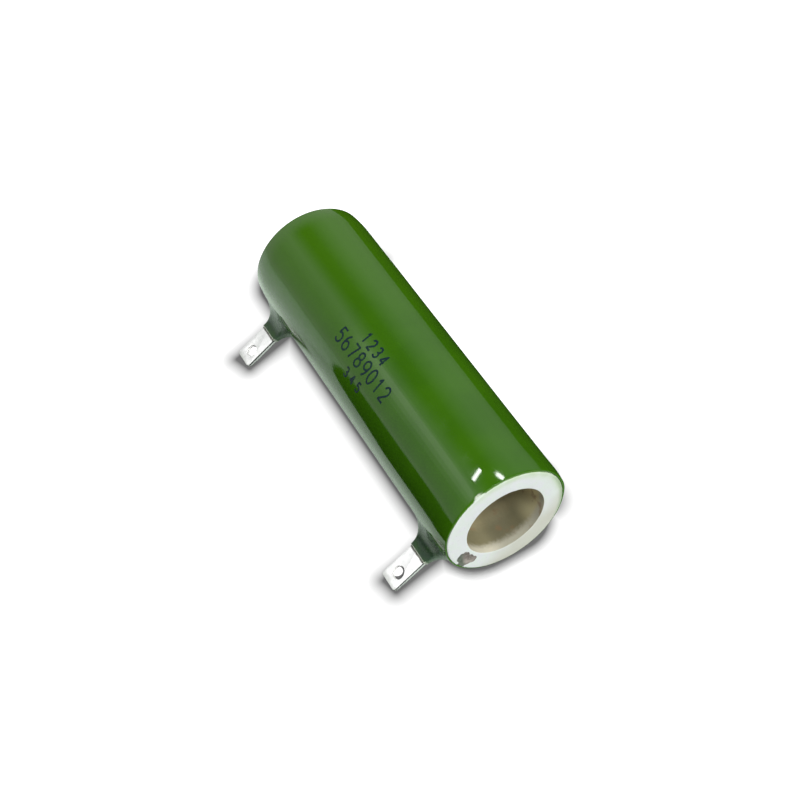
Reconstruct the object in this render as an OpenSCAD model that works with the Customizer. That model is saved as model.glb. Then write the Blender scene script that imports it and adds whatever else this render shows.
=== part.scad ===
// Tubular wirewound resistor under green vitreous enamel, with two folded strip lugs.
// X runs along the tube, with the near end at +X. Z is up. Both lugs lean down towards -Y,
// so the part lies on a line along its enamel and on the tips of its lugs.

/* [Ceramic tube] */
// Length of the tube from end face to end face
tube_l = 89.5; // [70:0.5:160]
// Outer diameter of the bare ceramic
ceramic_d = 27.5; // [22:0.5:34]
// Diameter of the bore
bore_d = 18.4; // [12:0.2:20]
// Rounding of the bore's mouth at each end
mouth_r = 0.5; // [0.2:0.1:0.8]
// Rounding of the outer edge at each end
rim_r = 0.25; // [0.1:0.05:0.5]

/* [Terminal strips] */
// Width of the strip, which is also the width of the lug
strip_w = 5.3; // [4:0.1:7]
// Thickness of the strip
strip_t = 0.45; // [0.4:0.05:0.7]
// Hairline between the two leaves of a lug
leaf_gap = 0.1; // [0.05:0.05:0.3]
// Inner radius of the bend from the band to the lug
bend_r = 0.4; // [0.3:0.1:0.8]
// Middle of each strip, measured from the end face next to it
lug_inset = 8.35; // [8:0.05:20]
// Bare length of the lug, from its enamel collar to its tip
lug_bare_l = 8.9; // [7:0.1:14]
// Diameter of the hole through the lug
lug_hole_d = 2.8; // [1.6:0.1:3.2]
// Middle of the hole, measured from the tip
hole_inset = 3.1; // [2.5:0.1:4.5]
// Rounding of the lug's two corners
corner_r = 0.7; // [0.3:0.1:1.5]

/* [Winding] */
// Diameter of the resistance wire
wire_d = 0.35; // [0.2:0.05:0.4]
// Distance from turn to turn, before it is fitted to a whole number of turns
wire_pitch = 2.2; // [2:0.1:6]
// Angle from the lugs to the ends of the wire, around the tube
wire_end_angle = 70; // [40:5:150]
// Width of the braze bead beside the strip
braze_w = 1.2; // [0.8:0.1:2]
// Length of the braze bead around the tube
braze_l = 3; // [2:0.5:6]

/* [Enamel] */
// Enamel over the strips and over the winding
cover_t = 0.26; // [0.2:0.02:0.8]
// Length over which the enamel thins towards each end
shoulder_l = 5.2; // [3:0.1:8]
// Radius of the rolled lip where the enamel ends
lip_r = 0.17; // [0.1:0.01:0.25]
// Bare ceramic left between the lip and the end face
setback = 0.15; // [0.05:0.05:0.5]
// Height of the collar around each lug, above the enamel
collar_h = 4.9; // [3:0.1:7]
// Enamel around the lug at the top of its collar
collar_t = 0.3; // [0.2:0.05:0.8]
// Radius of the fillet that runs from the collar into the coat
collar_fillet_r = 4.6; // [1.5:0.1:6]

/* [Hidden] */
$fn = 96;

// Clearance between curved faces that seat on each other
seat = 0.02;
// Amount by which a cutting shape runs past what it cuts
past = 1;
// Thinning of the strip on each of its faces where it is bent
bend_thin = 0.03;

ceramic_r = ceramic_d / 2;
bore_r = bore_d / 2;
lug_x = tube_l / 2 - lug_inset;

// Radii of the stack on the ceramic: strip, wire, the pocket that holds both, and the enamel
band_in_r = ceramic_r + seat;
band_out_r = band_in_r + strip_t;
turn_steps = 28;
wire_in_r = band_in_r / cos(180 / turn_steps);
wire_out_r = wire_in_r + wire_d;
pocket_r = max(band_out_r, wire_out_r) + seat;
enamel_r = pocket_r + cover_t;

// Lug: two leaves of strip with a hairline between them
lug_t = 2 * strip_t + leaf_gap;
collar_top = enamel_r + collar_h;
tip_r = collar_top + lug_bare_l;
hole_r = tip_r - hole_inset;
// The lower corner of the tip is level with the lowest line of the enamel
lug_angle = asin(enamel_r / norm([tip_r, lug_t / 2])) - atan(lug_t / 2 / tip_r);

// Middle of the bends, in the lug's own section
bend_x = lug_t / 2 + bend_r;
bend_y = sqrt(pow(band_out_r + bend_r, 2) - pow(bend_x, 2));

// Winding between the two strips, with a whole number of turns
bead_face_x = lug_x - strip_w / 2;
wire_span = 2 * bead_face_x - braze_w;
turns = round(wire_span / wire_pitch);
wire_start = 90 + lug_angle + wire_end_angle;
braze_angle = braze_l / ceramic_r * 180 / PI;
bead_round_r = (pow(braze_w / 2, 2) + pow(strip_t, 2)) / (2 * strip_t);

// Enamel shoulder: one long arc from the full diameter down to the rolled lip
coat_l = tube_l - 2 * setback;
coat_in_r = ceramic_r + seat;
lip_y = coat_l / 2 - lip_r;
shoulder_y = lip_y - shoulder_l;
shoulder_drop = enamel_r - coat_in_r - 2 * lip_r;
shoulder_r = (pow(shoulder_l, 2) + pow(shoulder_drop, 2)) / (2 * shoulder_drop);
pocket_half_l = lug_x + strip_w / 2 + 2 * seat;

// Collar: half thickness and half width at its top, and its fillets
collar_half_t = lug_t / 2 + collar_t;
collar_half_w = strip_w / 2 + collar_t;
// Rounding of the collar around its top
collar_round_r = 0.2;
// The outline that trims the fillets beside the lug stays this far off the straight faces
side_clear = 0.05;
fillet_r = min(collar_fillet_r, collar_h - collar_round_r - side_clear);
// The fillets cross the coat at a slight angle, a little below its surface
fillet_sink = 0.18;
side_half_t = collar_half_t + side_clear;
side_y = sqrt(pow(enamel_r + fillet_r, 2) - pow(side_half_t + fillet_r, 2)) - fillet_sink / 2;

// Chip in the near end face, in line with the lugs. Each scoop is
// [sideways from the lugs' line, out from the middle of the wall, radius, depth]
chip_scoops = [[0.9, 0.05, 1.5, 0.45], [-0.9, 0.15, 1.6, 0.7], [-2.2, -0.5, 0.95, 0.4], [-0.6, 1.55, 1.2, 0.55]];
wall_mid_r = (ceramic_r + bore_r) / 2;

// Nick in the near lip of the enamel
nick_angle = 113;
nick_r = 0.7;
nick_depth = 0.35;

// Turns a shape so that its Z becomes the tube's axis
module along_tube() {
  rotate([0, 90, 0]) children();
}

// Turns a shape so that its Z points out along the lugs and its Y to their upper face
module at_lugs() {
  rotate([90 + lug_angle, 0, 0]) children();
}

// Extrudes a section drawn in the lug's thickness and length, along the tube
module across_lug(width) {
  rotate([90, 0, 90]) linear_extrude(height = width, center = true) children();
}

// What a rounded corner of radius r loses, at the corner of the quadrant [sx, sy]
module corner_cut(r, sx, sy) {
  difference() {
    translate([sx > 0 ? -r : -past, sy > 0 ? -r : -past]) square(r + past);
    translate([-sx * r, -sy * r]) circle(r);
  }
}

module tube_section() {
  difference() {
    translate([bore_r, -tube_l / 2]) square([ceramic_r - bore_r, tube_l]);
    for (sy = [-1, 1]) {
      translate([bore_r, sy * tube_l / 2]) corner_cut(mouth_r, -1, sy);
      translate([ceramic_r, sy * tube_l / 2]) corner_cut(rim_r, 1, sy);
    }
  }
}

// Shallow scoop of a sphere out of a face at z = 0
module scoop(r, depth) {
  ball_r = (r * r + depth * depth) / (2 * depth);
  translate([0, 0, ball_r - depth]) sphere(ball_r);
}

module chip() {
  for (s = chip_scoops)
    translate([tube_l / 2, s[0], wall_mid_r + s[1]]) along_tube() scoop(s[2], s[3]);
}

module ceramic_tube() {
  color("#dfe3e1")
  difference() {
    along_tube() rotate_extrude() tube_section();
    at_lugs() chip();
  }
}

// Wedge from the tube's axis to the middles of the two bends
module bend_wedge() {
  polygon([[0, 0], [bend_x, bend_y], [-bend_x, bend_y]]);
}

module bend_circles(r) {
  for (side = [-1, 1]) translate([side * bend_x, bend_y]) circle(r);
}

// The lug and the root that widens from it into the band
module lug_outline(grow, reach) {
  difference() {
    union() {
      bend_wedge();
      translate([-lug_t / 2 - grow, 0]) square([lug_t + 2 * grow, reach]);
      children();
    }
    bend_circles(bend_r + bend_thin - grow);
  }
}

// Strip wrapped around the ceramic, with both ends bent outwards to lie side by side
module terminal_section() {
  difference() {
    lug_outline(0, tip_r) circle(band_out_r);
    circle(band_in_r);
    translate([-leaf_gap / 2, 0]) square([leaf_gap, tip_r + past]);
    difference() {
      bend_wedge();
      bend_circles(bend_r + strip_t - bend_thin);
    }
  }
}

module terminal() {
  color("#d4d6d6")
  at_lugs() difference() {
    across_lug(strip_w) terminal_section();
    translate([0, 0, hole_r]) rotate([90, 0, 0]) cylinder(d = lug_hole_d, h = lug_t + 2 * past, center = true);
    rotate([90, 0, 0]) linear_extrude(height = lug_t + 2 * past, center = true)
      for (sx = [-1, 1]) translate([sx * strip_w / 2, tip_r]) corner_cut(corner_r, sx, 1);
  }
}

module near_terminal() {
  translate([lug_x, 0, 0]) terminal();
}

module far_terminal() {
  translate([-lug_x, 0, 0]) terminal();
}

// Corners of the wire's section at one step along the helix
function wire_ring(i) =
  let (
    a = wire_start + i * 360 / turn_steps,
    x = wire_span * (i / (turns * turn_steps) - 0.5),
    mid = wire_in_r + wire_d / 2
  )
  [for (k = [0:3]) let (r = mid + wire_d / 2 * sin(k * 90))
    [x + wire_d / 2 * cos(k * 90), r * cos(a), r * sin(a)]];

module resistance_wire() {
  steps = turns * turn_steps;
  points = [for (i = [0:steps]) each wire_ring(i)];
  sides = [for (i = [0:steps - 1], k = [0:3]) each [
    [4 * i + k, 4 * i + (k + 1) % 4, 4 * i + 4 + k],
    [4 * i + (k + 1) % 4, 4 * i + 4 + (k + 1) % 4, 4 * i + 4 + k]
  ]];
  last = 4 * steps;
  caps = [[3, 2, 1], [3, 1, 0], [last, last + 1, last + 2], [last, last + 2, last + 3]];
  color("#8d8a84") polyhedron(points = points, faces = concat(sides, caps));
}

// Domed bead on the ceramic that joins the wire's end to the edge of the strip
module braze_bead() {
  color("#c9b98a") along_tube() rotate_extrude(angle = braze_angle)
    intersection() {
      translate([band_in_r, -braze_w / 2]) square([strip_t + past, braze_w]);
      translate([band_out_r - bead_round_r, 0]) circle(bead_round_r);
    }
}

module near_braze_bead() {
  translate([bead_face_x - braze_w / 2, 0, 0]) rotate([wire_start + 90, 0, 0]) braze_bead();
}

module far_braze_bead() {
  translate([braze_w / 2 - bead_face_x, 0, 0]) rotate([wire_start + 90 - braze_angle, 0, 0]) braze_bead();
}

// Half section of the whole coat, from the tube's axis out to the enamel's surface
module coat_section() {
  intersection() {
    translate([0, -lip_y]) square([enamel_r + past, 2 * lip_y]);
    union() {
      translate([0, -shoulder_y]) square([enamel_r, 2 * shoulder_y]);
      for (sy = [-1, 1]) translate([enamel_r - shoulder_r, sy * shoulder_y]) circle(shoulder_r, $fn = 720);
    }
  }
  for (sy = [-1, 1]) translate([coat_in_r + lip_r, sy * lip_y]) circle(lip_r);
  translate([0, -coat_l / 2]) square([coat_in_r + lip_r, coat_l]);
}

// Section of a collar: straight at the top, with a fillet on each side into the coat
module flare_section(half, centre_y, top, round_r) {
  difference() {
    translate([-half - fillet_r, 0]) square([2 * (half + fillet_r), top]);
    for (sx = [-1, 1]) {
      translate([sx * (half + fillet_r), centre_y]) circle(fillet_r);
      translate([sx > 0 ? half : -half - fillet_r - past, centre_y]) square([fillet_r + past, top]);
      if (round_r > 0) translate([sx * half, top]) corner_cut(round_r, sx, 1);
    }
  }
}

module right_half() {
  intersection() {
    children();
    translate([0, -past]) square([tip_r, tip_r]);
  }
}

// Enamel drawn up around the root of a lug
module collar() {
  end_x = collar_half_w - collar_half_t;
  centre_y = enamel_r + fillet_r - fillet_sink;
  intersection() {
    union() {
      across_lug(2 * end_x) flare_section(collar_half_t, centre_y, collar_top, collar_round_r);
      for (side = [-1, 1]) translate([side * end_x, 0, 0]) rotate([0, 0, -90 * side])
        rotate_extrude(angle = 180) right_half()
          flare_section(collar_half_t, centre_y, collar_top, collar_round_r);
    }
    across_lug(4 * (collar_half_w + fillet_r)) flare_section(side_half_t, side_y, collar_top + past, 0);
  }
}

module enamel_coat() {
  color("#3f7a24")
  difference() {
    union() {
      along_tube() rotate_extrude() coat_section();
      for (x = [-lug_x, lug_x]) translate([x, 0, 0]) at_lugs() collar();
    }
    along_tube() cylinder(r = coat_in_r, h = tube_l + past, center = true);
    along_tube() cylinder(r = pocket_r, h = 2 * pocket_half_l, center = true);
    for (x = [-lug_x, lug_x]) translate([x, 0, 0]) at_lugs()
      across_lug(strip_w + 2 * seat) lug_outline(seat, tip_r);
    rotate([nick_angle, 0, 0]) translate([coat_l / 2 + nick_r - nick_depth, enamel_r, 0]) sphere(nick_r);
  }
}

ceramic_tube();
near_terminal();
far_terminal();
resistance_wire();
near_braze_bead();
far_braze_bead();
enamel_coat();
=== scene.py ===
import bpy
import bmesh
from math import acos, asin, atan2, cos, degrees, exp, hypot, pi, radians, sin, sqrt
from mathutils import Matrix, Vector, noise
from mathutils.interpolate import poly_3d_calc


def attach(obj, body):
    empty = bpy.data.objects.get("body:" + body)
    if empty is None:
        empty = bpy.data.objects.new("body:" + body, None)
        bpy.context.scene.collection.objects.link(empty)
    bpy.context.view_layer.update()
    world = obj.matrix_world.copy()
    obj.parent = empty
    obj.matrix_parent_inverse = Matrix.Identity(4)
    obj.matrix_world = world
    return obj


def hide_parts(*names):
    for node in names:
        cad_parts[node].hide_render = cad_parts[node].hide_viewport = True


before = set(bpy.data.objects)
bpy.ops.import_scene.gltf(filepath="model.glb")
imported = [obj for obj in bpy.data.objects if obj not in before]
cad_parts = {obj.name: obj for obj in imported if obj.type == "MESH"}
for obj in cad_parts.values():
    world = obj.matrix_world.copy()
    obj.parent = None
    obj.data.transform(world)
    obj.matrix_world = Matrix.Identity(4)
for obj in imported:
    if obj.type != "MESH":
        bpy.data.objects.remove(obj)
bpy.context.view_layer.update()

# The pieces are worked out in millimetres, as in the part's source, and scaled to metres at the end.
mm = 0.001

# Measures that more than one piece needs
resistor = {
    "lugX": 36.4,           # middle of each lug along the tube
    "lugLean": 29.804,      # degrees below the horizontal, towards -Y
    "restZ": -14.5,         # the surface that the part lies on
}
strip = {
    "width": 5.3,
    "thickness": 0.45,
    "leafGap": 0.1,
    "bendRadius": 0.4,
    "bandRadius": 13.77,
    "tipReach": 28.3,
    "cornerRadius": 0.7,
    "holeRadius": 1.4,
    "holeReach": 25.2,
    "drillLength": 4,
    "edgeRounding": 0.07,
    "bendSteps": 8,
    "bandSteps": 72,
    "cornerSteps": 7,
    "holeSteps": 40,
    "edgeSteps": 3,
}
# Turns +Z to where the lugs point, about the tube's axis
lugTurn = Matrix.Rotation(radians(90 + resistor["lugLean"]), 4, "X")


def clamp(value, low, high):
    return max(low, min(high, value))


def smooth(value):
    value = clamp(value, 0, 1)
    return value * value * (3 - 2 * value)


# Goes smoothly from 0 to 1 while the value passes a stretch that begins at start
def rise(value, start, stretch):
    return smooth((value - start) / stretch)


def blend(a, b, share):
    return a + (b - a) * share


def steps(start, end, count):
    return [blend(start, end, i / count) for i in range(1, count + 1)]


# How far an angle in radians lies from a middle in degrees, from -180 to 180
def turnFrom(middle, angle):
    return (degrees(angle) - middle + 180) % 360 - 180


# Noise between 0 and 1 at a place
def wave(x, y, z):
    return 0.5 + 0.5 * noise.noise(Vector((x, y, z)))


# A finished piece: its mesh in metres, with its materials and its body
def finishPiece(name, bm, materials, node=None, sharpAngle=None):
    bmesh.ops.scale(bm, vec=(mm, mm, mm), verts=bm.verts)
    piece = looseObject(name, bm, materials)
    piece.data.shade_smooth()
    if sharpAngle:
        piece.data.set_sharp_from_angle(angle=radians(sharpAngle))
    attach(piece, "root")
    if node:
        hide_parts(node)


def looseObject(name, bm, materials=()):
    mesh = bpy.data.meshes.new(name)
    bm.to_mesh(mesh)
    bm.free()
    for material in materials:
        mesh.materials.append(material)
    piece = bpy.data.objects.new(name, mesh)
    bpy.context.scene.collection.objects.link(piece)
    return piece


# The mesh of an object with its modifiers made real, as a new bmesh, and its materials
def settled(piece):
    shown = piece.evaluated_get(bpy.context.evaluated_depsgraph_get())
    mesh = bpy.data.meshes.new_from_object(shown)
    bm = bmesh.new()
    bm.from_mesh(mesh)
    materials = list(mesh.materials)
    bpy.data.objects.remove(piece)
    bpy.data.meshes.remove(mesh)
    return bm, materials


def addCut(piece, cutter):
    cut = piece.modifiers.new("cut", "BOOLEAN")
    cut.operation = "DIFFERENCE"
    cut.solver = "EXACT"
    cut.object = cutter
    return cut


# Spins a section round the tube's axis. It is given for one half of the tube, as places along it and
# radii, from the middle of the outside to the middle of the inside.
def revolved(half, turnSteps):
    section = half + [(-x, r) for x, r in reversed(half[1:-1])]
    bm = bmesh.new()
    corners = [bm.verts.new((x, 0, r)) for x, r in section]
    for a, b in zip(corners, corners[1:] + corners[:1]):
        bm.edges.new((a, b))
    ring = bm.verts[:] + bm.edges[:]
    bmesh.ops.spin(bm, geom=ring, axis=(1, 0, 0), angle=2 * pi, steps=turnSteps, use_merge=True)
    bmesh.ops.recalc_face_normals(bm, faces=bm.faces)
    return bm


# Materials

# Small helpers for the nodes of a material, or of the sky
class Nodes:
    def __init__(self, tree, placeName):
        self.nodes = tree.nodes
        self.links = tree.links
        self.place = self.nodes.new("ShaderNodeTexCoord").outputs[placeName]

    def join(self, source, target):
        self.links.new(source, target)

    def noise(self, size, detail, stretch=None, roughness=0.5):
        node = self.nodes.new("ShaderNodeTexNoise")
        node.inputs["Scale"].default_value = 1 / (size * mm)
        node.inputs["Detail"].default_value = detail
        node.inputs["Roughness"].default_value = roughness
        source = self.place
        if stretch:
            mapping = self.nodes.new("ShaderNodeMapping")
            mapping.inputs["Scale"].default_value = stretch
            self.join(self.place, mapping.inputs["Vector"])
            source = mapping.outputs["Vector"]
        self.join(source, node.inputs["Vector"])
        return node.outputs["Fac"]

    # Goes smoothly from start to end while the source goes from low to high
    def span(self, source, low, high, start=0.0, end=1.0):
        node = self.nodes.new("ShaderNodeMapRange")
        node.interpolation_type = "SMOOTHSTEP"
        node.inputs["From Min"].default_value = low
        node.inputs["From Max"].default_value = high
        node.inputs["To Min"].default_value = start
        node.inputs["To Max"].default_value = end
        self.join(source, node.inputs["Value"])
        return node.outputs["Result"]

    # The same over a length, with low and high in millimetres
    def zone(self, length, low, high, start=0.0, end=1.0):
        return self.span(length, low * mm, high * mm, start, end)

    # Patches of a size in millimetres, where the noise goes from low to high
    def patches(self, size, low, high, start=0.0, end=1.0, detail=3, roughness=0.5):
        return self.span(self.noise(size, detail, roughness=roughness), low, high, start, end)

    # A length made uneven by noise, with its size and its amount in millimetres
    def uneven(self, length, size, amount, detail=3):
        return self.add(length, self.times(self.noise(size, detail), amount * mm))

    def math(self, operation, first, second=None):
        node = self.nodes.new("ShaderNodeMath")
        node.operation = operation
        for socket, value in zip(node.inputs, (first, second)):
            if isinstance(value, (int, float)):
                socket.default_value = value
            elif value is not None:
                self.join(value, socket)
        return node.outputs["Value"]

    def add(self, first, second):
        return self.math("ADD", first, second)

    def minus(self, first, second):
        return self.math("SUBTRACT", first, second)

    def times(self, first, *others):
        for other in others:
            first = self.math("MULTIPLY", first, other)
        return first

    def hypotenuse(self, first, second):
        return self.math("SQRT", self.add(self.times(first, first), self.times(second, second)))

    def vector(self, operation, first, second=None):
        node = self.nodes.new("ShaderNodeVectorMath")
        node.operation = operation
        self.join(first, node.inputs[0])
        if second:
            node.inputs[1].default_value = second
        return node.outputs["Value" if operation in ("LENGTH", "DISTANCE") else "Vector"]

    def mix(self, share, first, second, mode="MIX"):
        node = self.nodes.new("ShaderNodeMix")
        node.data_type = "RGBA"
        node.blend_type = mode
        if isinstance(share, (int, float)):
            node.inputs["Factor"].default_value = share
        else:
            self.join(share, node.inputs["Factor"])
        for key, value in ((6, first), (7, second)):
            if isinstance(value, tuple):
                node.inputs[key].default_value = (*value, 1)
            else:
                self.join(value, node.inputs[key])
        return node.outputs[2]

    def axes(self):
        node = self.nodes.new("ShaderNodeSeparateXYZ")
        self.join(self.place, node.inputs["Vector"])
        return node.outputs["X"], node.outputs["Y"], node.outputs["Z"]

    def radius(self):
        return self.hypotenuse(*self.axes()[1:])

    # How far a point lies in a direction across the tube, given as shares of Y and Z
    def towards(self, shareOfY, shareOfZ):
        y, z = self.axes()[1:]
        return self.add(self.times(y, shareOfY), self.times(z, shareOfZ))


# A principled material
class Finish(Nodes):
    def __init__(self, name, color, roughness, metallic=0.0):
        self.material = bpy.data.materials.new(name)
        self.material.use_nodes = True
        super().__init__(self.material.node_tree, "Object")
        self.shader = self.nodes["Principled BSDF"]
        self.shader.inputs["Base Color"].default_value = (*color, 1)
        self.shader.inputs["Roughness"].default_value = roughness
        self.shader.inputs["Metallic"].default_value = metallic
        self.relief = None

    def attribute(self, name):
        node = self.nodes.new("ShaderNodeAttribute")
        node.attribute_name = name
        return node.outputs["Fac"]

    def color(self, source):
        self.join(source, self.shader.inputs["Base Color"])

    def roughness(self, source):
        self.join(source, self.shader.inputs["Roughness"])

    # Relief with its size and depth in millimetres, on top of the relief before it
    def grain(self, size, depth, detail=2, stretch=None):
        node = self.nodes.new("ShaderNodeBump")
        node.inputs["Distance"].default_value = depth * mm
        self.join(self.noise(size, detail, stretch), node.inputs["Height"])
        if self.relief:
            self.join(self.relief, node.inputs["Normal"])
        self.relief = node.outputs["Normal"]
        self.join(self.relief, self.shader.inputs["Normal"])


# In each look, patches are a size, the noise where they begin and where they are full, and at times the
# values there. Zones, radii, sides along Y and heights along Z are from and to, and at times the values
# there. A way is shares of Y and Z. What is uneven has a size and an amount. Ripples, pinholes, grain,
# drag and dents are a size, a depth and at times a detail. All lengths are in millimetres.
enamelLook = {
    "green": (0.043, 0.148, 0.002),
    "deepGreen": (0.036, 0.130, 0.002),
    "deepPatches": (13, 0.35, 0.65),
    "farGreen": (0.050, 0.157, 0.002),       # lighter towards the far end
    "farZone": (12, -42),
    "farShare": 0.9,
    # darker round the collars: partly pooled enamel, partly painted shade
    "collarGreen": (0.026, 0.064, 0.031),
    "collarPatches": (2.2, 0.3, 0.65, 0.7),
    "collarRoughness": 0.22,                 # what the collars add to it
    "thinAndGlintGreen": (0.68, 0.74, 0.61),         # where the ceramic shows through, and partly a painted glint on the lips
    "thinPatches": (0.5, 0.3, 0.6, 0.65),
    "roughness": (0.05, 0.11),
    "roughPatches": (6, 0.3, 0.7),
    "gloss": 0.5,
    "lipGloss": 0.1,                         # and where it ends in a thin lip
    "lipZone": (44.2, 44.4),
    "ripples": (5, 0.003, 1),
    "pinholes": (0.5, 0.00015),
}


def makeEnamel():
    look = enamelLook
    finish = Finish("greenEnamel", look["green"], 0.08)
    x = finish.axes()[0]
    body = finish.mix(finish.patches(*look["deepPatches"]), look["green"], look["deepGreen"])
    body = finish.mix(finish.zone(x, *look["farZone"], 0, look["farShare"]), body, look["farGreen"])
    # the collars' darker enamel, partly pooled and partly painted shade
    drawn = finish.times(finish.attribute("collarPoolAndShade"), finish.patches(*look["collarPatches"]))
    body = finish.mix(drawn, body, look["collarGreen"])
    # pale thin enamel, and partly a painted glint on the lips
    thin = finish.times(finish.attribute("thinEnamelAndGlint"), finish.patches(*look["thinPatches"]))
    finish.color(finish.mix(thin, body, look["thinAndGlintGreen"]))
    roughness = finish.patches(*look["roughPatches"], *look["roughness"], detail=2)
    finish.roughness(finish.add(roughness, finish.times(drawn, look["collarRoughness"])))
    toEnd = finish.math("ABSOLUTE", x)
    gloss = finish.zone(toEnd, *look["lipZone"], look["gloss"], look["lipGloss"])
    finish.join(gloss, finish.shader.inputs["Specular IOR Level"])
    finish.grain(*look["ripples"])
    finish.grain(*look["pinholes"])
    return finish.material


ceramicLook = {
    "body": (0.705, 0.765, 0.725),
    "coolBody": (0.72, 0.755, 0.755),
    "coolPatches": (1.8, 0.42, 0.60),
    "tinge": (0.57, 0.68, 0.51),          # beside the enamel
    "tingePatches": (3, 0.3, 0.6, 0.5),
    "tingeRadii": (11.6, 13.4),
    "tingeSide": (-11, -1),
    "tingeHeight": (-7, 3),
    "cream": (0.575, 0.59, 0.51),         # painted shade: darker and warmer low down and away from the lugs
    "creamWay": (0.5, -0.87),
    "creamUneven": (4, 3),
    "creamZone": (5.5, 12.5),
    "stain": (0.32, 0.42, 0.26),          # at the face's edge, away from the lugs
    "stainRadii": (12.5, 13.6),
    "stainSide": (10.5, 13.2, 0, 0.85),
    "smear": (0.10, 0.22, 0.035),         # enamel run over the upper edge
    "smearWay": (-0.17, 0.98),
    "smearZone": (5, 9.5),
    "smearUneven": (0.8, 0.1),
    "smearRadii": (13.70, 13.76),
    "nickSide": -5.3,                     # where the nick is, which the smear leaves out
    "nickZone": (1.0, 1.5),
    "speck": (0.55, 0.56, 0.53),
    "speckPatches": (0.45, 0.60, 0.74, 0, 0.5),
    "boreRadii": (9.26, 9.205),
    "boreUneven": (0.7, 1.2),
    # painted light: the bore paler at its mouth, where light falls in
    "boreMouth": (0.61, 0.58, 0.455),
    "mouthZone": (44.6, 42.5),
    "boreDeep": (0.21, 0.19, 0.105),
    "boreInner": (0.40, 0.35, 0.20),      # painted light further in, all round
    "innerZone": (40, 36),
    "borePale": (0.78, 0.70, 0.41),       # painted light on the wall on the side away from the lugs
    "paleSide": (4.6, 8.8),
    "rust": (0.32, 0.185, 0.09),
    "rustPatches": (2.6, 0.56, 0.72, 0, 0.55),
    "lowerWallShade": (0.62, 0.63, 0.62),           # how much darker painted shade leaves the bore's lower wall
    "lowerShadeWay": (0.55, -1),
    "lowerShadeZone": (6.2, 9.4),
    "roughness": (0.5, 0.75),
    "roughPatches": (3, 0.3, 0.7),
    "grain": (0.9, 0.02, 3),
    "fineGrain": (0.22, 0.006),
}


def faceColor(finish, look):
    y, z = finish.axes()[1:]
    radius = finish.radius()
    face = finish.mix(finish.patches(*look["coolPatches"]), look["body"], look["coolBody"])
    ring = finish.zone(radius, *look["tingeRadii"])
    side = finish.zone(y, *look["tingeSide"])
    height = finish.zone(z, *look["tingeHeight"])
    tinge = finish.times(ring, finish.patches(*look["tingePatches"]), side, height)
    face = finish.mix(tinge, face, look["tinge"])
    # painted shade, darker and warmer low down on the face
    low = finish.uneven(finish.towards(*look["creamWay"]), *look["creamUneven"])
    face = finish.mix(finish.zone(low, *look["creamZone"]), face, look["cream"])
    stain = finish.times(finish.zone(radius, *look["stainRadii"]), finish.zone(y, *look["stainSide"]))
    face = finish.mix(stain, face, look["stain"])
    upper = finish.zone(finish.towards(*look["smearWay"]), *look["smearZone"])
    fromNick = finish.math("ABSOLUTE", finish.minus(y, look["nickSide"] * mm))
    edge = finish.zone(finish.uneven(radius, *look["smearUneven"]), *look["smearRadii"])
    smear = finish.times(upper, finish.zone(fromNick, *look["nickZone"]), edge)
    face = finish.mix(smear, face, look["smear"])
    return finish.mix(finish.patches(*look["speckPatches"], roughness=0.65), face, look["speck"])


def boreColor(finish, look):
    x, y = finish.axes()[:2]
    # painted light at the mouth, further in and on the wall away from the lugs
    depth = finish.uneven(finish.math("ABSOLUTE", x), *look["boreUneven"])
    wall = finish.mix(finish.zone(depth, *look["innerZone"]), look["boreDeep"], look["boreInner"])
    wall = finish.mix(finish.zone(y, *look["paleSide"]), wall, look["borePale"])
    wall = finish.mix(finish.zone(depth, *look["mouthZone"]), look["boreMouth"], wall)
    wall = finish.mix(finish.patches(*look["rustPatches"]), wall, look["rust"])
    # painted shade on the bore's lower wall
    low = finish.zone(finish.towards(*look["lowerShadeWay"]), *look["lowerShadeZone"])
    return finish.mix(low, wall, look["lowerWallShade"], "MULTIPLY")


def makeCeramic():
    look = ceramicLook
    finish = Finish("firedCeramic", look["body"], 0.6)
    inside = finish.zone(finish.radius(), *look["boreRadii"])
    finish.color(finish.mix(inside, faceColor(finish, look), boreColor(finish, look)))
    finish.roughness(finish.patches(*look["roughPatches"], *look["roughness"], detail=2))
    finish.grain(*look["grain"])
    finish.grain(*look["fineGrain"])
    return finish.material


chipLook = {
    "broken": (0.175, 0.155, 0.135),
    "pale": (0.29, 0.265, 0.235),
    "palePatches": (0.8, 0.4, 0.62),
    "green": (0.10, 0.12, 0.09),       # beside the enamel
    "greenSide": (-9.6, -10.9),
    "grain": (0.3, 0.08, 4),
}


def makeBrokenCeramic():
    look = chipLook
    finish = Finish("brokenCeramic", look["broken"], 0.85)
    broken = finish.mix(finish.patches(*look["palePatches"], detail=4), look["broken"], look["pale"])
    side = finish.zone(finish.axes()[1], *look["greenSide"])
    finish.color(finish.mix(side, broken, look["green"]))
    finish.grain(*look["grain"])
    return finish.material


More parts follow.
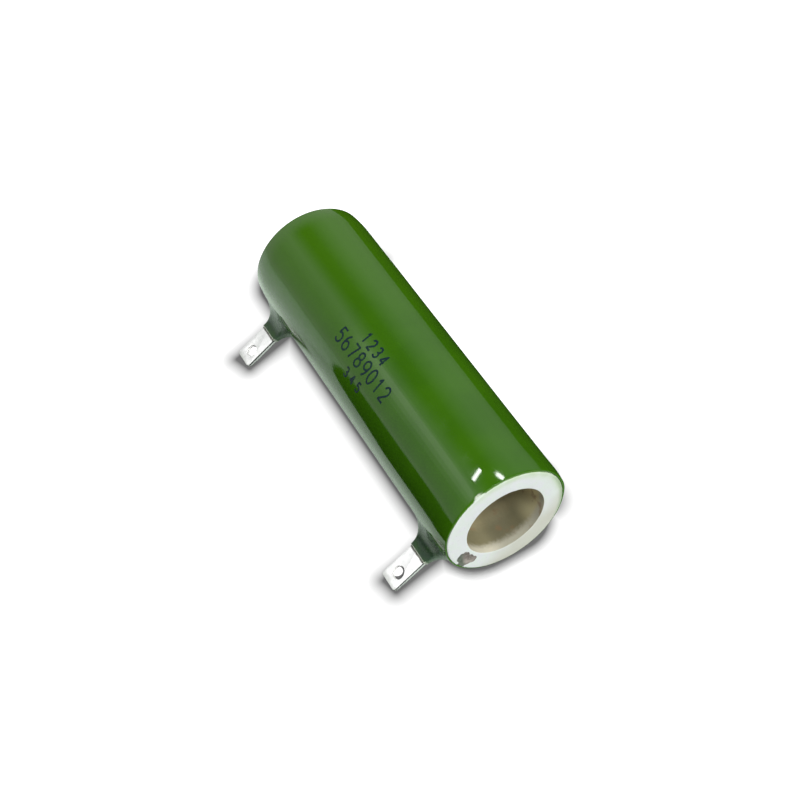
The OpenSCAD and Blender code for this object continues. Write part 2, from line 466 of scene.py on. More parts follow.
stripLook = {
    "tin": (0.95, 0.955, 0.95),
    "dullTin": (0.86, 0.87, 0.86),
    "dullPatches": (1.6, 0.42, 0.66),
    "greyTin": (0.60, 0.615, 0.59),      # at the tips, and over the far lug a little as painted shade
    "tipUneven": (1.2, 2.0),
    "tipZone": (27.5, 29.4, 0, 0.9),
    "farZone": (1, -1, 0, 0.25),
    "rootDark": (0.10, 0.10, 0.085),       # a dark band where it comes out of the enamel
    "rootDarkUneven": (0.7, 0.3),
    "rootDarkRadii": (20.05, 19.7),
    "upperEdge": (0.10, 0.105, 0.10),    # sheared edge of the leaf on top, painted dark as shade
    # the lower leaf's sheared edge, painted lighter as catching light
    "lowerEdge": (0.62, 0.63, 0.62),
    "leafZone": (-0.04, 0.04),
    "edgeZone": (2.59, 2.63),
    "holeRim": (0.93, 0.93, 0.91),       # the punched edge, painted bright as lit
    "holeShade": (0.03, 0.03, 0.03),     # and painted shade on its one side, on the near lug
    "shadeLean": 0.7,
    "shadeZone": (0, 1),
    "shadeRim": 0.16,                    # how much wider the rim is there
    "rimRadii": (1.50, 1.44),
    "roughness": (0.36, 0.52),
    "roughPatches": (0.9, 0.3, 0.7),
    "drag": (0.6, 0.012, 3, (1, 0.25, 0.25)),
    "dents": (2.2, 0.03),
}


def makeTin():
    look = stripLook
    finish = Finish("tinnedStrip", look["tin"], 0.3, 1.0)
    x = finish.axes()[0]
    lean = radians(resistor["lugLean"])
    along = finish.towards(-cos(lean), -sin(lean))
    through = finish.towards(-sin(lean), cos(lean))
    across = finish.minus(finish.math("ABSOLUTE", x), resistor["lugX"] * mm)
    dull = finish.patches(*look["dullPatches"], detail=4, roughness=0.6)
    tin = finish.mix(dull, look["tin"], look["dullTin"])
    tip = finish.zone(finish.uneven(along, *look["tipUneven"]), *look["tipZone"])
    # greyer tips, and painted shade over the far lug
    grey = finish.math("MAXIMUM", tip, finish.zone(x, *look["farZone"]))
    tin = finish.mix(grey, tin, look["greyTin"])
    fromAxis = finish.uneven(finish.radius(), *look["rootDarkUneven"], detail=2)
    tin = finish.mix(finish.zone(fromAxis, *look["rootDarkRadii"]), tin, look["rootDark"])
    # the leaves' sheared edges: painted shade on the upper, painted highlight on the lower
    edge = finish.mix(finish.zone(through, *look["leafZone"]), look["lowerEdge"], look["upperEdge"])
    tin = finish.mix(finish.zone(finish.math("ABSOLUTE", across), *look["edgeZone"]), tin, edge)
    # the hole's wall and eased edge, painted bright, with painted shade on one side on the near lug
    fromHole = finish.minus(along, strip["holeReach"] * mm)
    away = finish.hypotenuse(across, fromHole)
    sideways = finish.minus(x, resistor["lugX"] * mm)
    shadeSide = finish.minus(sideways, finish.times(fromHole, look["shadeLean"]))
    dark = finish.zone(shadeSide, *look["shadeZone"])
    away = finish.minus(away, finish.times(dark, look["shadeRim"] * mm))
    rim = finish.zone(away, *look["rimRadii"])
    finish.color(finish.mix(rim, tin, finish.mix(dark, look["holeRim"], look["holeShade"])))
    finish.join(finish.minus(1, rim), finish.shader.inputs["Metallic"])
    finish.roughness(finish.patches(*look["roughPatches"], *look["roughness"]))
    finish.grain(*look["drag"])
    finish.grain(*look["dents"])
    return finish.material


wireLook = {
    "color": (0.45, 0.43, 0.40),
    "oxide": (0.27, 0.25, 0.22),
    "oxidePatches": (2, 0.35, 0.65),
    "roughness": 0.38,
    "grain": (0.2, 0.004),
}
beadLook = {
    "color": (0.66, 0.55, 0.34),
    "oxide": (0.35, 0.28, 0.17),
    "oxidePatches": (0.5, 0.35, 0.65),
    "roughness": 0.42,
    "grain": (0.25, 0.01),
}


def makeInnerMetal(name, look):
    finish = Finish(name, look["color"], look["roughness"], 1.0)
    finish.color(finish.mix(finish.patches(*look["oxidePatches"]), look["color"], look["oxide"]))
    finish.grain(*look["grain"])
    return finish.material


inkLook = {
    "ink": (0.004, 0.021, 0.028),
    "wornInk": (0.010, 0.044, 0.028),
    "wornPatches": (0.9, 0.48, 0.68),
    "gloss": 0.2,
    "roughness": (0.4, 0.6),
    "roughPatches": (0.7, 0.3, 0.7),
}


def makeInk():
    look = inkLook
    finish = Finish("markingInk", look["ink"], 0.5)
    finish.shader.inputs["Specular IOR Level"].default_value = look["gloss"]
    worn = finish.patches(*look["wornPatches"], detail=4, roughness=0.6)
    finish.color(finish.mix(worn, look["ink"], look["wornInk"]))
    finish.roughness(finish.patches(*look["roughPatches"], *look["roughness"], detail=2))
    return finish.material


enamelMaterial = makeEnamel()
ceramicMaterial = makeCeramic()
brokenMaterial = makeBrokenCeramic()
tinMaterial = makeTin()
inkMaterial = makeInk()
wireMaterial = makeInnerMetal("resistanceAlloy", wireLook)
beadMaterial = makeInnerMetal("brazeMetal", beadLook)

# The wire and the beads keep their CAD meshes
innerNodes = {
    "resistance_wire": wireMaterial,
    "near_braze_bead": beadMaterial,
    "far_braze_bead": beadMaterial,
}
for nodeName, material in innerNodes.items():
    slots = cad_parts[nodeName].data.materials
    slots.clear()
    slots.append(material)
print("materials done")


# Enamel coat

coat = {
    "radius": 14.5,
    "innerRadius": 13.77,
    "pocketRadius": 14.24,
    "pocketHalf": 39.09,
    "halfLength": 44.6,
    "lipRadius": 0.17,
    "shoulderLength": 5.2,
    "blockHalf": 7.6,        # half the length of the opening that each collar rises from
    "blockSpread": 25,       # half its spread around the tube, in degrees
    "turnSteps": 144,
    "blockSteps": 16,        # grid cells across the opening
    "middleSteps": 34,       # and beside it, up to the middle of the tube
    "shoulderSteps": 3,      # and up to the lip
    "lipSteps": 8,
    "seatSteps": 5,
    "pocketSteps": 30,
}
collar = {
    "top": 19.4,
    "sideFillet": 4.5,           # fillet over the lug's faces
    "nearFillets": (4.6, 5.1),   # and beside its edges, towards -X and +X
    "farFillets": (3.5, 5.0),
    "coreHalfLength": 2.58,      # the outlines below are offsets of this small rectangle
    "coreHalfThickness": 0.43,
    "wallOffset": 0.37,
    "slotOffset": 0.09,
    "rimGap": 0.25,              # between a fillet's foot and the rim of the opening
    "footStep": 0.2,             # from the foot to the first points of the path
    "ragged": 0.12,
    "raggedWaves": 0.7,          # per millimetre
    "filletSteps": 14,
    "wallSteps": 3,
    "lipSteps": 8,
    "slotSteps": 4,
    "floorSteps": 5,
}
# What the firing leaves, and where some painted shade and glint go. A rise is where it starts and over how
# much, in millimetres unless it says so.
firedWithPaintedLight = {
    "swell": 0.045,              # depth of the slow waves in the enamel
    "swellLength": 11,
    "swellTurns": 1.3,
    "calmRise": (34, 6),         # towards the near end they grow calmer
    "calmShare": 0.8,
    "bulge": 0.3,                # height of the enamel that stands proud on one side of the near end
    "bulgeAngle": 8,             # in degrees
    "bulgeSpread": 20,
    "bulgeRise": (39, 4.5),
    "pocketOutside": (14.25, 0.1),   # rises of the radius that tell the outside from the inside
    "endOutside": (13.95, 0.1),
    "pocketMargin": 0.5,         # how far past the pocket the first of them holds
    "lumps": 0.05,               # of the collars
    "lumpWaves": 0.45,           # per millimetre
    "lumpRadii": (15, 19),
    "shadeRise": (3.6, 2.4),     # where the collars' darker enamel ends, from the lug's core; it is partly pooled enamel, partly painted shade
    "collarRadius": 17,          # past this the enamel belongs to a collar's upper part
    "collarThin": (-0.34, 0.16), # rise of the thin enamel below the collar's top, partly a painted glint on the lip
    "thinLip": 0.08,             # how much shows through the lip on the upper half of each end, partly a painted glint
    "thinRise": (44.52, 0.08),
    "thinRadius": 13.85,
    "upperAngle": 42,            # in degrees
    "upperRise": (0.2, 0.3),     # of the cosine of the angle from there
    "proudShare": 2.5,           # the bulge hides it this many times as fast as it grows
    "edgeRise": (43.4, 1.0),
    "edgeUneven": 0.07,
    "edgeTurns": 3.5,
}
nick = {
    "angle": 113,
    "halfWidth": 3.9,            # degrees
    "depth": 0.19,
    "steepness": 2.2,
    "jag": 0.15,                 # how ragged its edge is, as a share of the depth
    "jagTurns": 9,
    "thinSteepness": 2,
    "thinRise": (44.2, 0.2),
}


def coatRadius(x):
    lipX = coat["halfLength"] - coat["lipRadius"]
    start = lipX - coat["shoulderLength"]
    drop = coat["radius"] - coat["innerRadius"] - 2 * coat["lipRadius"]
    arc = (coat["shoulderLength"] ** 2 + drop ** 2) / (2 * drop)
    past = clamp(abs(x) - start, 0, coat["shoulderLength"])
    return coat["radius"] - arc + sqrt(arc * arc - past * past)


# Half of the closed section, from the middle of the outside round the lip to the middle of the inside
def coatSection():
    lipX = coat["halfLength"] - coat["lipRadius"]
    lipMid = coat["innerRadius"] + coat["lipRadius"]
    blockStart = resistor["lugX"] - coat["blockHalf"]
    blockEnd = resistor["lugX"] + coat["blockHalf"]
    pocketStart = 2 * resistor["lugX"] - coat["pocketHalf"]
    outside = [0] + steps(0, blockStart, coat["middleSteps"])
    outside += steps(blockStart, blockEnd, coat["blockSteps"])
    outside += steps(blockEnd, lipX, coat["shoulderSteps"])
    points = [(x, coatRadius(x)) for x in outside]
    for turn in steps(pi / 2, -pi / 2, coat["lipSteps"]):
        points.append((lipX + coat["lipRadius"] * cos(turn), lipMid + coat["lipRadius"] * sin(turn)))
    points += [(x, coat["innerRadius"]) for x in steps(lipX, coat["pocketHalf"], coat["seatSteps"])]
    inside = [coat["pocketHalf"]] + steps(coat["pocketHalf"], pocketStart, coat["blockSteps"])
    inside += steps(pocketStart, 0, coat["pocketSteps"])
    return points + [(x, coat["pocketRadius"]) for x in inside]


# Opens the grid around a lug and returns the open edges; outwards tells the outside from the inside
def openBlock(bm, middle, halfLength, outwards):
    faces = []
    for face in bm.faces:
        at = face.calc_center_median()
        turn = abs(degrees(atan2(at.y, at.z)))
        if abs(at.x - middle) < halfLength and turn < coat["blockSpread"]:
            if (face.normal.y * at.y + face.normal.z * at.z > 0) == outwards:
                faces.append(face)
    edges = {edge for face in faces for edge in face.edges}
    rim = [edge for edge in edges if sum(face in faces for face in edge.link_faces) == 1]
    bmesh.ops.delete(bm, geom=faces, context="FACES")
    return rim


# Where a point of the opening's rim goes at each step of the way up the collar, over its lip and down
# the slot. Both across and around run from -1 to 1 over the opening.
def collarPath(middle, across, around):
    startU = coat["blockHalf"] * across
    startV = coat["radius"] * sin(radians(coat["blockSpread"]) * around)
    coreU = clamp(startU, -collar["coreHalfLength"], collar["coreHalfLength"])
    coreV = clamp(startV, -collar["coreHalfThickness"], collar["coreHalfThickness"])
    ray = Vector((startU - coreU, startV - coreV)).normalized()

    def outline(offset):
        return coreU + ray.x * offset, coreV + ray.y * offset

    def height(u, v):
        return sqrt(coatRadius(middle + u) ** 2 - v * v)

    wall, slotGap = collar["wallOffset"], collar["slotOffset"]
    edgeFillet = collar["nearFillets" if middle > 0 else "farFillets"][ray.x > 0]
    fillet = blend(collar["sideFillet"], edgeFillet, ray.x * ray.x)
    # the fillet's foot stays inside the opening
    toRim = (coat["blockHalf"] - collar["rimGap"] - collar["coreHalfLength"]) / max(abs(ray.x), 0.01)
    room = min(fillet, toRim - wall)
    u, v = outline(wall)
    waves = collar["raggedWaves"]
    lip = (wall - slotGap) / 2
    top = collar["top"] - lip - collar["ragged"] * wave(u * waves + middle, v * waves, 3.1)
    firstTurn = asin(1 - room / fillet)
    lastTurn = acos(max(0, 1 - (top - height(u, v)) / fillet))
    u, v = outline(wall + room + collar["footStep"])
    path = [(u, v, height(u, v))]
    for turn in [firstTurn] + steps(firstTurn, lastTurn, collar["filletSteps"]):
        u, v = outline(wall + fillet * (1 - sin(turn)))
        path.append((u, v, height(u, v) + fillet * (1 - cos(turn))))
    rest = path[-1][2]
    u, v = outline(wall)
    path += [(u, v, w) for w in steps(rest, max(top, rest), collar["wallSteps"])]
    for turn in steps(0, pi, collar["lipSteps"]):
        u, v = outline(slotGap + lip + lip * cos(turn))
        path.append((u, v, top + lip * sin(turn)))
    floor = sqrt(coat["pocketRadius"] ** 2 - v * v)
    path += [(u, v, w) for w in steps(top, floor, collar["slotSteps"])]
    endU = (coat["pocketHalf"] - resistor["lugX"]) * across
    endV = coat["pocketRadius"] * sin(radians(coat["blockSpread"]) * around)
    for share in steps(0, 1, collar["floorSteps"]):
        nowU, nowV = blend(u, endU, share), blend(v, endV, share)
        path.append((nowU, nowV, sqrt(coat["pocketRadius"] ** 2 - nowV * nowV)))
    return [Vector((middle + a, b, c)) for a, b, c in path]


def raiseCollar(bm, middle):
    rim = openBlock(bm, middle, coat["blockHalf"], True)
    openBlock(bm, middle, coat["pocketHalf"] - resistor["lugX"], False)
    paths = {}
    for vert in {v for edge in rim for v in edge.verts}:
        across = (vert.co.x - middle) / coat["blockHalf"]
        around = degrees(atan2(vert.co.y, vert.co.z)) / coat["blockSpread"]
        paths[vert] = collarPath(middle, across, around)
    count = len(next(iter(paths.values())))
    for i in range(count):
        grown = bmesh.ops.extrude_edge_only(bm, edges=rim)["geom"]
        rim = [item for item in grown if isinstance(item, bmesh.types.BMEdge)]
        fresh = {}
        for vert in [item for item in grown if isinstance(item, bmesh.types.BMVert)]:
            source = next(e.other_vert(vert) for e in vert.link_edges if e.other_vert(vert) in paths)
            fresh[vert] = paths[source]
        for vert, path in fresh.items():
            vert.co = path[i]
        paths = fresh


# Depth of the slow waves in the enamel's surface, at an angle around the tube and a place along it
def swellAt(x, angle):
    turns = firedWithPaintedLight["swellTurns"]
    calm = 1 - firedWithPaintedLight["calmShare"] * rise(x, *firedWithPaintedLight["calmRise"])
    return firedWithPaintedLight["swell"] * calm * wave(x / firedWithPaintedLight["swellLength"], turns * cos(angle), turns * sin(angle))


# Height by which the enamel stands proud of its shoulder on one side of the near end
def bulgeAt(x, angle):
    off = turnFrom(firedWithPaintedLight["bulgeAngle"], angle) / firedWithPaintedLight["bulgeSpread"]
    return firedWithPaintedLight["bulge"] * exp(-off ** 2) * rise(x, *firedWithPaintedLight["bulgeRise"])


# How thin the enamel runs out at the lip of an end, along the upper half, where it is partly a painted glint
def thinLipAt(x, r, angle):
    if r <= firedWithPaintedLight["thinRadius"]:
        return 0
    proud = clamp(firedWithPaintedLight["proudShare"] * bulgeAt(x, angle) / firedWithPaintedLight["bulge"], 0, 1)
    upper = rise(cos(angle - radians(firedWithPaintedLight["upperAngle"])), *firedWithPaintedLight["upperRise"])
    return firedWithPaintedLight["thinLip"] * upper * (1 - proud) * rise(abs(x), *firedWithPaintedLight["thinRise"])


# How far the enamel's edge draws back from its end, and how thin it is in the nick of the near end
def edgeAt(x, angle):
    end = 1 if x > 0 else -1
    turns = firedWithPaintedLight["edgeTurns"]
    back = firedWithPaintedLight["edgeUneven"] * wave(end * 4, turns * cos(angle), turns * sin(angle))
    thin = 0
    inNick = 1 - abs(turnFrom(nick["angle"], angle)) / nick["halfWidth"]
    if end > 0 and inNick > 0:
        turns = nick["jagTurns"]
        jag = 1 - 2 * nick["jag"] * (1 - wave(turns * cos(angle), turns * sin(angle), 2))
        back += nick["depth"] * smooth(inNick * nick["steepness"]) * jag
        thin = smooth(inNick * nick["thinSteepness"]) * rise(abs(x), *nick["thinRise"])
    return end * rise(abs(x), *firedWithPaintedLight["edgeRise"]) * back, thin


def weatherAndShadeCoat(bm):
    thin = bm.verts.layers.float.new("thinEnamelAndGlint")
    shade = bm.verts.layers.float.new("collarPoolAndShade")
    lean = radians(resistor["lugLean"])
    lumpStart, lumpEnd = firedWithPaintedLight["lumpRadii"]
    thinStart, thinStretch = firedWithPaintedLight["collarThin"]
    for vert in bm.verts:
        x, y, z = vert.co
        r = hypot(y, z)
        angle = atan2(z, y)
        overPocket = abs(x) < coat["pocketHalf"] + firedWithPaintedLight["pocketMargin"]
        outside = rise(r, *firedWithPaintedLight["pocketOutside" if overPocket else "endOutside"])
        inwards = (swellAt(x, angle) - bulgeAt(x, angle)) * outside
        across = max(0, abs(abs(x) - resistor["lugX"]) - collar["coreHalfLength"])
        through = max(0, abs(z * cos(lean) - y * sin(lean)) - collar["coreHalfThickness"])
        # darker enamel round the collars: partly pooled, partly painted shade
        if y < 0:
            vert[shade] = 1 - rise(hypot(across, through), *firedWithPaintedLight["shadeRise"])
        if lumpStart < r < lumpEnd:
            inwards += firedWithPaintedLight["lumps"] * noise.noise(Vector((x, y, z)) * firedWithPaintedLight["lumpWaves"])
        # thin enamel at the lips of the ends and collars, partly a painted glint; in the nick, thin enamel
        # only
        vert[thin] = thinLipAt(x, r, angle)
        if r > firedWithPaintedLight["collarRadius"]:
            vert[thin] = rise(r, collar["top"] + thinStart, thinStretch)
        elif abs(x) > firedWithPaintedLight["edgeRise"][0]:
            back, thinHere = edgeAt(x, angle)
            vert[thin] = max(vert[thin], thinHere)
            vert.co.x -= back
        if r > 1:
            vert.co.y -= y / r * inwards
            vert.co.z -= z / r * inwards


def makeCoat():
    bm = revolved(coatSection(), coat["turnSteps"])
    for side in (1, -1):
        raiseCollar(bm, side * resistor["lugX"])
    bmesh.ops.remove_doubles(bm, verts=bm.verts, dist=0.001)
    bmesh.ops.recalc_face_normals(bm, faces=bm.faces)
    bmesh.ops.transform(bm, matrix=lugTurn, verts=bm.verts)
    weatherAndShadeCoat(bm)
    finishPiece("enamelCoat", bm, [enamelMaterial], node="enamel_coat")


makeCoat()
print("enamel coat done")


# Ceramic tube

tube = {
    "outerRadius": 13.75,
    "boreRadius": 9.2,
    "halfLength": 44.75,
    "mouthRounding": 0.06,
    "rimRounding": 0.25,
    "turnSteps": 144,
    "lengthSteps": 12,
    "faceSteps": 5,
    "rimSteps": 4,
    "mouthSteps": 6,
}
chip = {
    # sideways from the lugs' line, distance from the axis, radius and depth of each scoop
    "scoops": (
        (0.9, 11.525, 1.5, 0.45),
        (-0.9, 11.625, 1.6, 0.7),
        (-2.2, 10.975, 0.95, 0.4),
        (-0.6, 13.025, 1.2, 0.55),
    ),
    "rough": 0.16,
    "roughWaves": 1.7,       # per millimetre
    "roughDetail": (1.0, 2.0, 4),
}


def roundedCorner(x, r, rounding, startTurn, count):
    turns = [startTurn] + steps(startTurn, startTurn - pi / 2, count)
    return [(x + rounding * cos(turn), r + rounding * sin(turn)) for turn in turns]


def tubeSection():
    rim, mouth = tube["rimRounding"], tube["mouthRounding"]
    outer, bore, end = tube["outerRadius"], tube["boreRadius"], tube["halfLength"]
    half = [(0, outer)] + [(x, outer) for x in steps(0, end - rim, tube["lengthSteps"])[:-1]]
    half += roundedCorner(end - rim, outer - rim, rim, pi / 2, tube["rimSteps"])
    half += [(end, r) for r in steps(outer - rim, bore + mouth, tube["faceSteps"])[:-1]]
    half += roundedCorner(end - mouth, bore + mouth, mouth, 0, tube["mouthSteps"])
    return half + [(x, bore) for x in steps(end - mouth, 0, tube["lengthSteps"])]


# Rough lumps that break the chip out of the near end face
def chipCutter():
    bm = bmesh.new()
    for sideways, out, radius, depth in chip["scoops"]:
        ball = (radius * radius + depth * depth) / (2 * depth)
        place = lugTurn @ Matrix.Translation((tube["halfLength"] + ball - depth, sideways, out))
        made = bmesh.ops.create_icosphere(bm, subdivisions=5, radius=ball, matrix=place)
        for vert in made["verts"]:
            spot = vert.co * chip["roughWaves"]
            vert.co.x -= chip["rough"] * noise.fractal(spot, *chip["roughDetail"])
    return looseObject("chipCutter", bm, [brokenMaterial])


def makeTube():
    blank = looseObject("tubeBlank", revolved(tubeSection(), tube["turnSteps"]), [ceramicMaterial])
    cutter = chipCutter()
    cut = addCut(blank, cutter)
    cut.use_self = True
    cut.material_mode = "TRANSFER"
    bm, materials = settled(blank)
    bpy.data.objects.remove(cutter)
    finishPiece("ceramicTube", bm, materials, node="ceramic_tube", sharpAngle=32)


makeTube()
print("ceramic tube done")


# Terminals

# The strip is drawn out from one tip, bent, led round the tube, bent again and drawn out to the other tip
def foldedStrip():
    leafY = (strip["leafGap"] + strip["thickness"]) / 2
    bendX = strip["leafGap"] / 2 + strip["thickness"] + strip["bendRadius"]
    outerBand = strip["bandRadius"] + strip["thickness"]
    bendZ = sqrt((outerBand + strip["bendRadius"]) ** 2 - bendX ** 2)
    fold = atan2(bendX, bendZ)
    bm = bmesh.new()
    corners = []
    for x, y in ((-1, -1), (1, -1), (1, 1), (-1, 1)):
        corner = (x * strip["width"] / 2, leafY + y * strip["thickness"] / 2, strip["tipReach"])
        corners.append(bm.verts.new(corner))
    bm.faces.new(corners)

    def lead(geom, **spin):
        return bmesh.ops.spin(bm, geom=geom, axis=(1, 0, 0), **spin)["geom_last"]

    def draw(geom, length):
        faces = [item for item in geom if isinstance(item, bmesh.types.BMFace)]
        grown = bmesh.ops.extrude_face_region(bm, geom=faces)["geom"]
        moved = [item for item in grown if isinstance(item, bmesh.types.BMVert)]
        bmesh.ops.translate(bm, vec=(0, 0, length), verts=moved)
        return grown

    last = draw(bm.faces[:], bendZ - strip["tipReach"])
    last = lead(last, cent=(0, bendX, bendZ), angle=pi / 2 - fold, steps=strip["bendSteps"])
    last = lead(last, cent=(0, 0, 0), angle=-(2 * pi - 2 * fold), steps=strip["bandSteps"])
    last = lead(last, cent=(0, -bendX, bendZ), angle=pi / 2 - fold, steps=strip["bendSteps"])
    draw(last, strip["tipReach"] - bendZ)
    bmesh.ops.remove_doubles(bm, verts=bm.verts, dist=0.0001)
    inner = [face for face in bm.faces if all(len(edge.link_faces) > 2 for edge in face.edges)]
    bmesh.ops.delete(bm, geom=inner, context="FACES_ONLY")
    bmesh.ops.recalc_face_normals(bm, faces=bm.faces)
    tips = []
    for edge in bm.edges:
        a, b = edge.verts[0].co, edge.verts[1].co
        if min(a.z, b.z) > strip["tipReach"] - 0.01 and abs(a.x - b.x) < 0.01:
            tips.append(edge)
    bmesh.ops.bevel(bm, geom=tips, offset=strip["cornerRadius"], affect="EDGES",
                    segments=strip["cornerSteps"], profile=0.5, material=-1)
    return bm


def holeDrill(name):
    bm = bmesh.new()
    place = Matrix.Translation((0, 0, strip["holeReach"])) @ Matrix.Rotation(pi / 2, 4, "X")
    bmesh.ops.create_cone(bm, cap_ends=True, segments=strip["holeSteps"], radius1=strip["holeRadius"],
                          radius2=strip["holeRadius"], depth=strip["drillLength"], matrix=place)
    return looseObject(name, bm, [tinMaterial])


def makeTerminal(name, node, side):
    blank = looseObject(name + "Blank", foldedStrip(), [tinMaterial])
    drill = holeDrill(name + "Drill")
    addCut(blank, drill)
    ease = blank.modifiers.new("edges", "BEVEL")
    ease.width = strip["edgeRounding"]
    ease.segments = strip["edgeSteps"]
    ease.limit_method = "ANGLE"
    ease.angle_limit = radians(40)
    bm = settled(blank)[0]
    bpy.data.objects.remove(drill)
    place = Matrix.Translation((side * resistor["lugX"], 0, 0)) @ lugTurn
    bmesh.ops.transform(bm, matrix=place, verts=bm.verts)
    finishPiece(name, bm, [tinMaterial], node=node, sharpAngle=35)


makeTerminal("nearTerminal", "near_terminal", 1)
makeTerminal("farTerminal", "far_terminal", -1)
print("terminals done")


# Ink marking

marking = {
    "strokeWidth": 0.47,
    "inkHeight": 0.012,
    "glyphWidth": 0.54,      # of the height
    "strokeStep": 0.08,      # of the height, between the points of a long stroke
    # rows of plain counting digits: text, first x, last x, angle of the baseline, height
    "rows": (
        ("1234", -4.2, 4.8, 114.5, 2.6),
        ("56789012", -9.9, 11.8, 132.9, 3.5),
        ("345", -2.0, 4.4, 147.3, 2.2),
    ),
}


def arcPoints(x, y, rx, ry, start, end, count=14):
    turns = [radians(turn) for turn in [start] + steps(start, end, count)]
    return [(x + rx * cos(turn), y + ry * sin(turn)) for turn in turns]


# Each digit as pen strokes in a box one unit wide and one high
def digitStrokes(digit):
    bowl = arcPoints(0.5, 0.30, 0.46, 0.30, 0, 360, 22)
    return {
        "0": [arcPoints(0.5, 0.5, 0.47, 0.5, 0, 360, 26)],
        "1": [[(0.22, 0.76), (0.56, 1.0), (0.56, 0.0)]],
        "2": [arcPoints(0.5, 0.70, 0.44, 0.30, 165, -38) + [(0.06, 0.0), (0.96, 0.0)]],
        "3": [arcPoints(0.46, 0.75, 0.40, 0.25, 150, -90) + arcPoints(0.46, 0.26, 0.47, 0.26, 88, -150)],
        "4": [[(0.72, 0.0), (0.72, 1.0), (0.03, 0.30), (0.98, 0.30)]],
        "5": [[(0.90, 1.0), (0.18, 1.0), (0.10, 0.55)] + arcPoints(0.46, 0.32, 0.47, 0.32, 118, -150)],
        "6": [arcPoints(0.62, 0.32, 0.58, 0.68, 100, 180), bowl],
        "7": [[(0.05, 1.0), (0.95, 1.0), (0.36, 0.0)]],
        "8": [arcPoints(0.5, 0.76, 0.37, 0.24, 0, 360, 20), arcPoints(0.5, 0.27, 0.46, 0.27, 0, 360, 22)],
        "9": [arcPoints(0.38, 0.68, 0.58, 0.68, -80, 0), arcPoints(0.5, 0.70, 0.46, 0.30, 0, 360, 22)],
    }[digit]


# Long pen lines get points on the way, so that they can follow the round enamel
def inShortSteps(stroke):
    points = stroke[:1]
    for (startX, startY), (endX, endY) in zip(stroke, stroke[1:]):
        count = max(1, round(hypot(endX - startX, endY - startY) / marking["strokeStep"]))
        points += zip(steps(startX, endX, count), steps(startY, endY, count))
    return points


# One row of digits, written flat and then laid on the enamel
def inkRow(bm, text, first, last, baseline, height):
    curve = bpy.data.curves.new("inkRow", "CURVE")
    curve.dimensions = "3D"
    curve.bevel_depth = marking["strokeWidth"] / 2
    curve.bevel_resolution = 2
    curve.use_fill_caps = True
    width = height * marking["glyphWidth"]
    pitch = (last - first - width) / (len(text) - 1)
    for i, digit in enumerate(text):
        for stroke in digitStrokes(digit):
            stroke = inShortSteps(stroke)
            line = curve.splines.new("POLY")
            line.points.add(len(stroke) - 1)
            for point, (x, y) in zip(line.points, stroke):
                point.co = (first + i * pitch + x * width, y * height, 0, 1)
    pen = bpy.data.objects.new("inkRow", curve)
    bpy.context.scene.collection.objects.link(pen)
    row = settled(pen)[0]
    for vert in row.verts:
        x, y, z = vert.co
        angle = radians(baseline) - y / coat["radius"]
        lift = marking["inkHeight"] * (1 + z / marking["strokeWidth"])
        r = coatRadius(x) - swellAt(x, angle) + lift
        vert.co = (x, r * cos(angle), r * sin(angle))
    flat = bpy.data.meshes.new("inkRow")
    row.to_mesh(flat)
    row.free()
    bm.from_mesh(flat)
    bpy.data.meshes.remove(flat)


def makeMarking():
    bm = bmesh.new()
    for row in marking["rows"]:
        inkRow(bm, *row)
    bmesh.ops.recalc_face_normals(bm, faces=bm.faces)
    finishPiece("inkMarking", bm, [inkMaterial], sharpAngle=60)


makeMarking()
print("marking done")


# Floor, light and camera

floorLook = {
    "size": 6.0,                 # in metres
    "seenGlow": 1.25,            # the floor's own light to the camera, and its colour
    "seenColor": 0.25,
    "mirroredGlow": 0.46,        # the same in reflections
    "mirroredColor": 0.63,
    "mirrorTint": (0.86, 1.0, 0.88),
    "farGain": 1.35,             # how much paler the reflections are past the far end
    "farZone": (-38, -52),
    "bounce": 0.32,              # its colour as it lights the object
    "contactReach": 5.0,         # how far the painted contact shadow reaches, in millimetres
    "contactSamples": 12,
    "contactSpan": (0.42, 0.95, 0.10),   # from and to, and the shade where it begins
    # the soft dark edge around the object, a painted shadow, as boxes on the floor that the camera sees:
    # middle, half size, turn in degrees, corner radius, darkest shade, fade per millimetre
    "halos": (
        ((-8.2, 1.1), (52.75, 12.85), 0, 8.8, 0.109, 0.40),
        ((-42.3, -3.7), (2.54, 22.7), 17.0, 0.5, 0.118, 0.303),
        ((32.8, -3.5), (2.27, 21.9), 11.6, 0.5, 0.118, 0.303),
        ((35.5, 13.5), (4.5, 4.6), 0, 4.0, 0.30, 0.29),
    ),
    "lugHalos": (1, 2),          # which of them lie beside the lugs
    "mirrorFade": 2,             # how many times as fast those fade in reflections
    # spots of the floor, seen through the lug holes, that the painted shadow leaves out: x, y, radius
    "litSpots": ((34.7, -21.6, 1.2), (-38.1, -21.5, 1.4)),
    "spotBlur": 0.15,
}


def haloShade(finish, middle, half, turn, corner, darkest, fade):
    place = finish.nodes.new("ShaderNodeMapping")
    place.vector_type = "TEXTURE"
    place.inputs["Location"].default_value = (middle[0] * mm, middle[1] * mm, resistor["restZ"] * mm)
    place.inputs["Rotation"].default_value = (0, 0, radians(turn))
    finish.join(finish.place, place.inputs["Vector"])
    size = ((half[0] - corner) * mm, (half[1] - corner) * mm, 1)
    beyond = finish.vector("SUBTRACT", finish.vector("ABSOLUTE", place.outputs["Vector"]), size)
    away = finish.vector("LENGTH", finish.vector("MAXIMUM", beyond, (0, 0, 0)))
    away = finish.math("MAXIMUM", finish.minus(away, corner * mm), 0)
    left = finish.math("EXPONENT", finish.times(away, -fade / mm))
    return finish.minus(1, finish.times(left, 1 - darkest))


